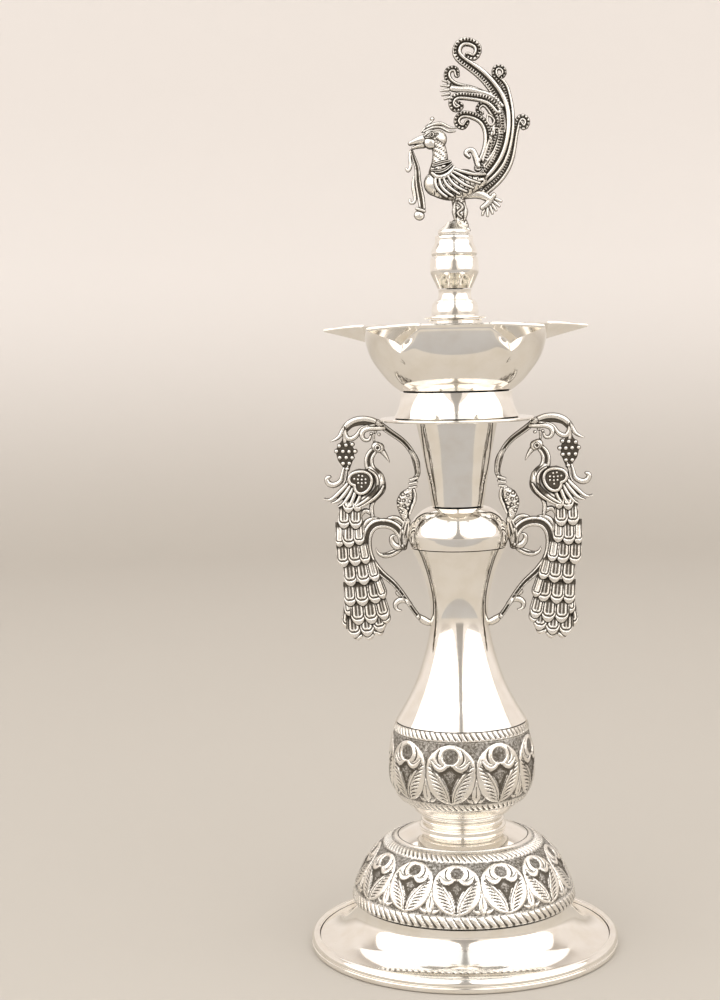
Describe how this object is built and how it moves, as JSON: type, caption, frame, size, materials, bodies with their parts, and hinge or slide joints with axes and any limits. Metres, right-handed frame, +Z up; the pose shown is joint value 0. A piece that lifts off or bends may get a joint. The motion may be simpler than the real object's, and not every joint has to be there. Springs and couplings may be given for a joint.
{
  "type": "oil lamp",
  "caption": "Standing silver oil lamp: chased round foot, spun stem with cast peacock handles, open bowl with pinched wick lips, and a peacock finial.",
  "frame": {"origin": "on the floor at the lamp's own axis", "axes": "+Z up, -Y to the front, handles along X, the finial's peacock looks towards -X"},
  "size_m": [0.1052, 0.1052, 0.3053],
  "materials": {
    "polished_silver": "hand-polished bright silver, faint spinning lines",
    "chased_silver": "chased silver, bright ridges, oxidised dark ground",
    "cast_silver": "cast silver, bright high spots, oxidised dark hollows",
    "screw_steel": "plain turned metal, hidden"
  },
  "bodies": {
    "foot": {"foot_rim": "polished_silver", "foot_skirt": "polished_silver", "foot_dome": "chased_silver", "foot_shoulder": "polished_silver", "foot_bush": "screw_steel"},
    "stem_screw": {"stem_screw": "screw_steel"},
    "stem": {"knop": "chased_silver", "vase": "polished_silver", "bulge": "polished_silver", "funnel": "polished_silver", "tray": "polished_silver", "tray_bush": "screw_steel", "left_vine_arm": "cast_silver", "left_scroll_bracket": "cast_silver", "left_peacock": "cast_silver", "left_tail": "cast_silver", "left_grapes": "cast_silver", "right_vine_arm": "cast_silver", "right_scroll_bracket": "cast_silver", "right_peacock": "cast_silver", "right_tail": "cast_silver", "right_grapes": "cast_silver"},
    "bowl_screw": {"bowl_screw": "screw_steel"},
    "bowl": {"bowl_spool": "polished_silver", "bowl_boss": "screw_steel", "bowl": "polished_silver", "bowl_pillar": "polished_silver"},
    "finial_screw": {"finial_screw": "screw_steel"},
    "finial": {"column_base": "polished_silver", "column_knob": "polished_silver", "finial_plinth": "cast_silver", "finial_peacock": "cast_silver", "plume_fan": "cast_silver", "beak_vine": "cast_silver"}
  },
  "joints": [
    {"name": "stem_rise", "type": "slide", "parent": "foot", "child": "stem_screw", "axis": [0, 0, 1], "range_m": [0, 0.00752]},
    {"name": "stem_unscrew", "type": "hinge", "parent": "stem_screw", "child": "stem", "pos_m": [0, 0, 0.0467], "axis": [0, 0, 1], "range_deg": [0, 1800]},
    {"name": "bowl_rise", "type": "slide", "parent": "stem", "child": "bowl_screw", "axis": [0, 0, 1], "range_m": [0, 0.00752]},
    {"name": "bowl_unscrew", "type": "hinge", "parent": "bowl_screw", "child": "bowl", "pos_m": [0, 0, 0.181], "axis": [0, 0, 1], "range_deg": [0, 1800]},
    {"name": "finial_rise", "type": "slide", "parent": "bowl", "child": "finial_screw", "axis": [0, 0, 1], "range_m": [0, 0.00752]},
    {"name": "finial_unscrew", "type": "hinge", "parent": "finial_screw", "child": "finial", "pos_m": [0, 0, 0.2137], "axis": [0, 0, 1], "range_deg": [0, 1800]}
  ],
  "couplings": [
    {"joint": "stem_rise", "follows": "stem_unscrew", "m_per_rad": 0.00023873},
    {"joint": "bowl_rise", "follows": "bowl_unscrew", "m_per_rad": 0.00023873},
    {"joint": "finial_rise", "follows": "finial_unscrew", "m_per_rad": 0.00023873}
  ]
}
